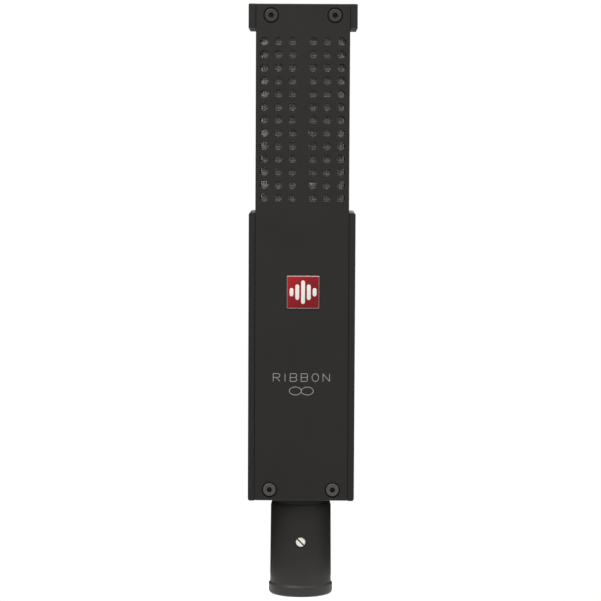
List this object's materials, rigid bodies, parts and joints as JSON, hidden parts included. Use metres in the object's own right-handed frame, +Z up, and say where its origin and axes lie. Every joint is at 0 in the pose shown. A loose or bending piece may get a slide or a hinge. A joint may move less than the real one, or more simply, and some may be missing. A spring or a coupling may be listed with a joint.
{
  "type": "ribbon microphone",
  "caption": "Long flat bar microphone with a perforated ribbon head open front and rear, an electronics bay in thick cheeks and a round XLR tail.",
  "frame": {"origin": "centre of the tail's open end, on the tail's axis", "axes": "+Z up along the microphone towards the head, -Y out of the front plate, +X to the right seen from the front"},
  "size_m": [0.0432, 0.0345, 0.2382],
  "materials": {
    "black_case": "satin",
    "black_steel": "satin",
    "mesh": "satin",
    "badge": "gloss",
    "bright_steel": "satin",
    "iron": "satin",
    "magnet": "polished",
    "foil": "satin",
    "brass": "satin",
    "silver_contact": "polished",
    "shell_metal": "satin",
    "insulator": "matte",
    "clamp_plastic": "matte",
    "rubber_pad": "matte",
    "can_metal": "satin",
    "winding": "gloss",
    "board": "satin",
    "film_case": "gloss",
    "capacitor_sleeve": "gloss",
    "resistor_body": "satin",
    "wire_jacket": "satin"
  },
  "bodies": {
    "body": {"top_cap": "black_case", "left_side_frame": "black_case", "right_side_frame": "black_case", "bottom_block": "black_case", "front_plate": "black_case", "rear_plate": "black_case", "bulkhead": "black_case", "tail_barrel": "black_case", "front_plate_screws": "black_steel", "rear_plate_screws": "black_steel", "side_screws": "black_steel", "front_mesh": "mesh", "rear_mesh": "mesh", "badge_plate": "badge", "clamp_screws": "bright_steel", "clamp_base_screws": "bright_steel", "transformer_screws": "bright_steel", "motor_frame": "iron", "left_pole_piece": "iron", "right_pole_piece": "iron", "transformer_core": "iron", "left_magnet": "magnet", "right_magnet": "magnet", "upper_clamp_bar": "brass", "lower_clamp_bar": "brass", "barrel_nut": "brass", "board_terminals": "brass", "can_terminals": "brass", "contact_pins": "silver_contact", "ground_tab": "silver_contact", "connector_shell": "shell_metal", "connector_insulator": "insulator", "transistors": "insulator", "transformer_bobbin": "insulator", "upper_clamp_base": "clamp_plastic", "lower_clamp_base": "clamp_plastic", "upper_shock_pad": "rubber_pad", "lower_shock_pad": "rubber_pad", "transformer_can": "can_metal", "transformer_winding": "winding", "circuit_board": "board", "film_capacitors": "film_case", "electrolytic_capacitors": "capacitor_sleeve", "resistors": "resistor_body", "ribbon_leads": "wire_jacket", "transformer_leads": "wire_jacket", "output_leads": "wire_jacket"},
    "ribbon": {"ribbon": "foil"},
    "lock_screw": {"lock_screw": "bright_steel"}
  },
  "joints": [
    {"name": "ribbon_motion", "type": "slide", "parent": "body", "child": "ribbon", "axis": [0, -1, 0], "range_m": [-0.0003, 0.0003], "stiffness_N_per_m": 2.1, "deforming": ["ribbon"]},
    {"name": "lock_screw_turn", "type": "hinge", "parent": "body", "child": "lock_screw", "pos_m": [0, -0.0098, 0.0223], "axis": [0, -1, 0], "range_deg": [-1260, 0]}
  ]
}
